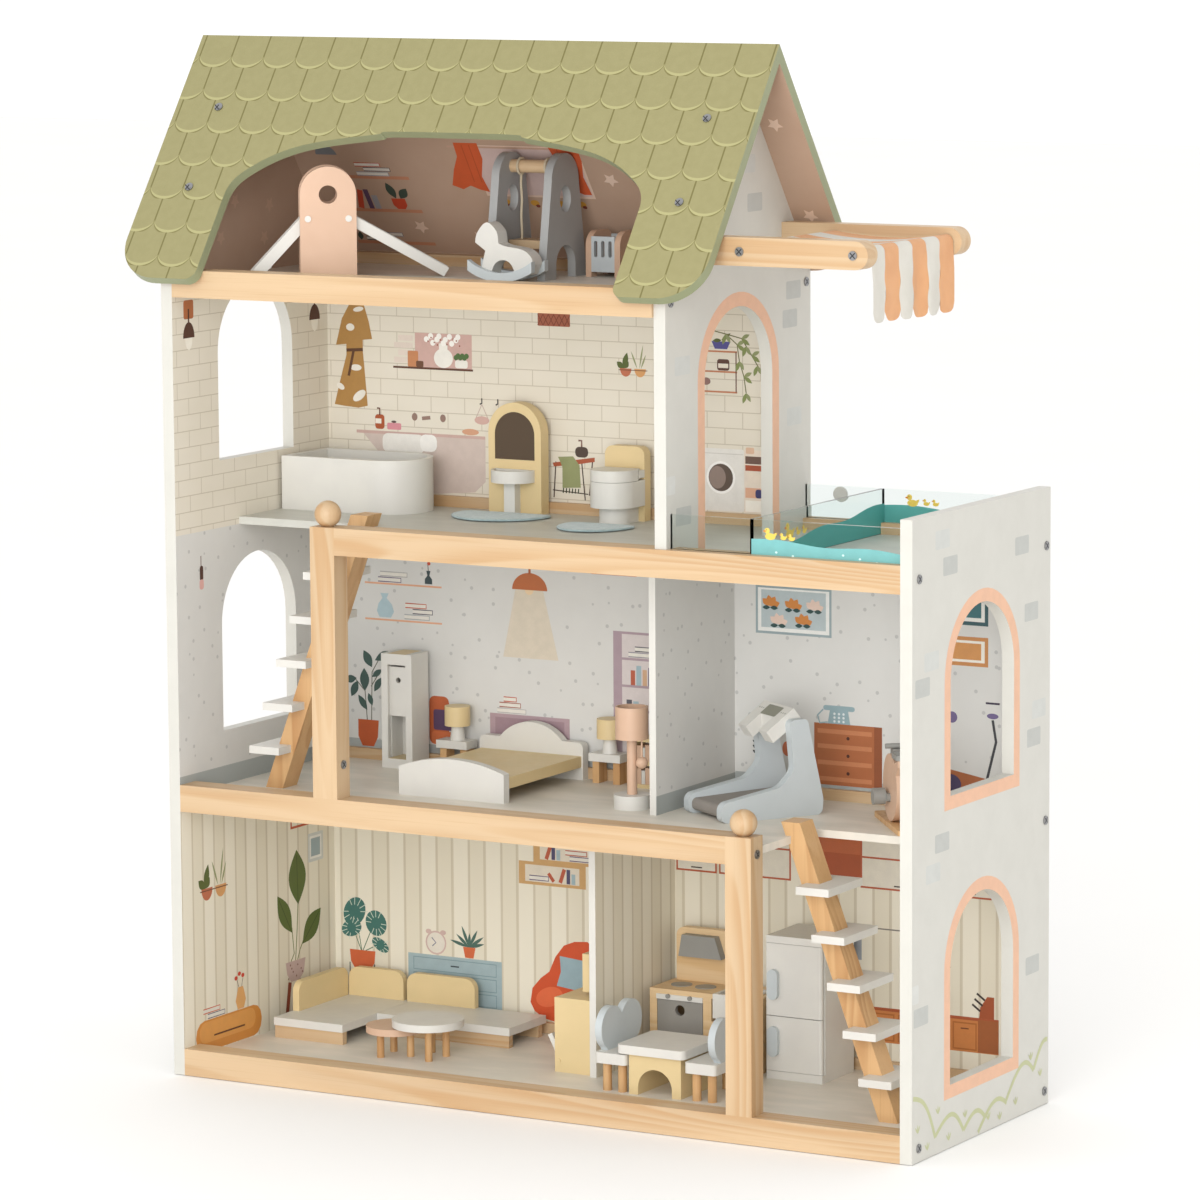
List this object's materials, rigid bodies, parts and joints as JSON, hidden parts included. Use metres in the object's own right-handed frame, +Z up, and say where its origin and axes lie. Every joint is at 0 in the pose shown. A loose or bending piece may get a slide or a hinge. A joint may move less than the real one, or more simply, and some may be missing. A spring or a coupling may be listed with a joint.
{
  "type": "wooden dollhouse",
  "caption": "Open-fronted wooden dollhouse with an attic under a steep gable roof, a terrace pool with an awning, ladders, and furniture with working doors and toys.",
  "frame": {"origin": "centre of the whole house's footprint box on the ground", "axes": "+Z up; -Y towards the open front; +X towards the terrace side, on the right as seen from the front"},
  "size_m": [0.6966, 0.2603, 0.8242],
  "materials": {
    "board_print": "painted and printed board, satin",
    "pine": "clear-lacquered pine, satin",
    "white_paint": "white paint, satin",
    "roof_green": "olive-green paint with printed shingles",
    "screw_steel": "satin",
    "clear_sheet": "clear with a printed water line",
    "pink_paint": "peach paint, satin",
    "grey_paint": "grey paint, satin",
    "light_blue_paint": "light blue-grey paint, satin",
    "cream_paint": "cream-yellow paint, satin",
    "bare_wood": "bare wood",
    "rope": "cotton cord",
    "striped_cloth": "woven, grey-white and peach stripes",
    "felt": "felt"
  },
  "bodies": {
    "house": {"attic_floor": "board_print", "attic_rail": "pine", "awning_cloth": "striped_cloth", "awning_frame": "pine", "back_panels": "board_print", "back_rails": "pine", "back_roof": "roof_green", "bath_mats": "felt", "bathtub": "white_paint", "bed": "pink_paint", "bedside_tables": "white_paint", "bookcase": "light_blue_paint", "coffee_tables": "white_paint", "cooker": "cream_paint", "crib": "pink_paint", "dining_table": "white_paint", "exercise_bike": "pink_paint", "first_floor": "board_print", "first_rail": "pine", "floor_lamp": "pink_paint", "fridge": "white_paint", "front_roof": "roof_green", "ground_floor": "board_print", "ground_rail": "pine", "left_ladder": "pine", "left_post": "pine", "left_wall": "board_print", "partitions": "white_paint", "pool_panels": "clear_sheet", "right_ladder": "pine", "right_post": "pine", "right_wall": "board_print", "screws": "screw_steel", "second_floor": "board_print", "second_rail": "pine", "slide_tower": "pink_paint", "sofa": "cream_paint", "swing_frame": "grey_paint", "table_lamps": "pink_paint", "tall_wall": "board_print", "television": "cream_paint", "toilet": "cream_paint", "treadmill": "light_blue_paint", "tv_cabinet": "cream_paint", "wardrobe": "pink_paint", "washstand": "cream_paint"},
    "lid": {"toilet_lid": "cream_paint"},
    "sliding_door": {"wardrobe_door": "white_paint"},
    "oven_door": {"oven_door": "grey_paint"},
    "upper_door": {"fridge_upper_door": "light_blue_paint"},
    "lower_door": {"fridge_lower_door": "light_blue_paint"},
    "cabinet_flap": {"tv_cabinet_flap": "cream_paint"},
    "toy_ladder": {"slide_ladder": "white_paint"},
    "chute": {"slide_chute": "white_paint"},
    "swing": {"swing_seat": "bare_wood", "swing_ropes": "rope"},
    "cranks": {"bike_pedals": "white_paint"},
    "horse": {"rocking_horse": "light_blue_paint"},
    "left_chair": {"chair_left": "grey_paint"},
    "right_chair": {"chair_right": "grey_paint"}
  },
  "joints": [
    {"name": "lid_hinge", "type": "hinge", "parent": "house", "child": "lid", "pos_m": [-0.01275, 0.0842, 0.479], "axis": [-1, 0, 0], "range_deg": [0, 85]},
    {"name": "sliding_door_slide", "type": "slide", "parent": "house", "child": "sliding_door", "axis": [0, 0, -1], "range_m": [0, 0.033]},
    {"name": "oven_hinge", "type": "hinge", "parent": "house", "child": "oven_door", "pos_m": [0.05625, 0.0537, 0.0285], "axis": [1, 0, 0], "range_deg": [0, 85]},
    {"name": "upper_door_hinge", "type": "hinge", "parent": "house", "child": "upper_door", "pos_m": [0.18525, 0.0452, 0.09], "axis": [0, 0, 1], "range_deg": [0, 100]},
    {"name": "lower_door_hinge", "type": "hinge", "parent": "house", "child": "lower_door", "pos_m": [0.18525, 0.0452, 0.04], "axis": [0, 0, 1], "range_deg": [0, 100]},
    {"name": "flap_hinge", "type": "hinge", "parent": "house", "child": "cabinet_flap", "pos_m": [-0.01625, 0.0247, 0.0215], "axis": [0, -1, 0], "range_deg": [-26, 60]},
    {"name": "toy_ladder_hinge", "type": "hinge", "parent": "house", "child": "toy_ladder", "pos_m": [-0.22401, -0.04288, 0.684], "axis": [-0.5707, 0.8211, 0], "range_deg": [0, 24]},
    {"name": "chute_hinge", "type": "hinge", "parent": "house", "child": "chute", "pos_m": [-0.19773, -0.02462, 0.684], "axis": [0.5707, -0.8211, 0], "range_deg": [0, 35]},
    {"name": "swing_hinge", "type": "hinge", "parent": "house", "child": "swing", "pos_m": [-0.06525, 0.0422, 0.7235], "axis": [1, 0, 0], "range_deg": [-20, 30]},
    {"name": "crank_turn", "type": "hinge", "parent": "house", "child": "cranks", "pos_m": [0.26225, 0.0283, 0.2485], "axis": [0.7804, 0.6252, 0], "continuous": true},
    {"name": "horse_rock", "type": "hinge", "parent": "house", "child": "horse", "pos_m": [-0.06275, -0.0053, 0.6928], "axis": [0, 1, 0], "range_deg": [-8, 8]},
    {"name": "left_chair_slide", "type": "slide", "parent": "house", "child": "left_chair", "axis": [-1, 0, 0], "range_m": [0, 0.018]},
    {"name": "right_chair_slide", "type": "slide", "parent": "house", "child": "right_chair", "axis": [1, 0, 0], "range_m": [0, 0.03]}
  ]
}
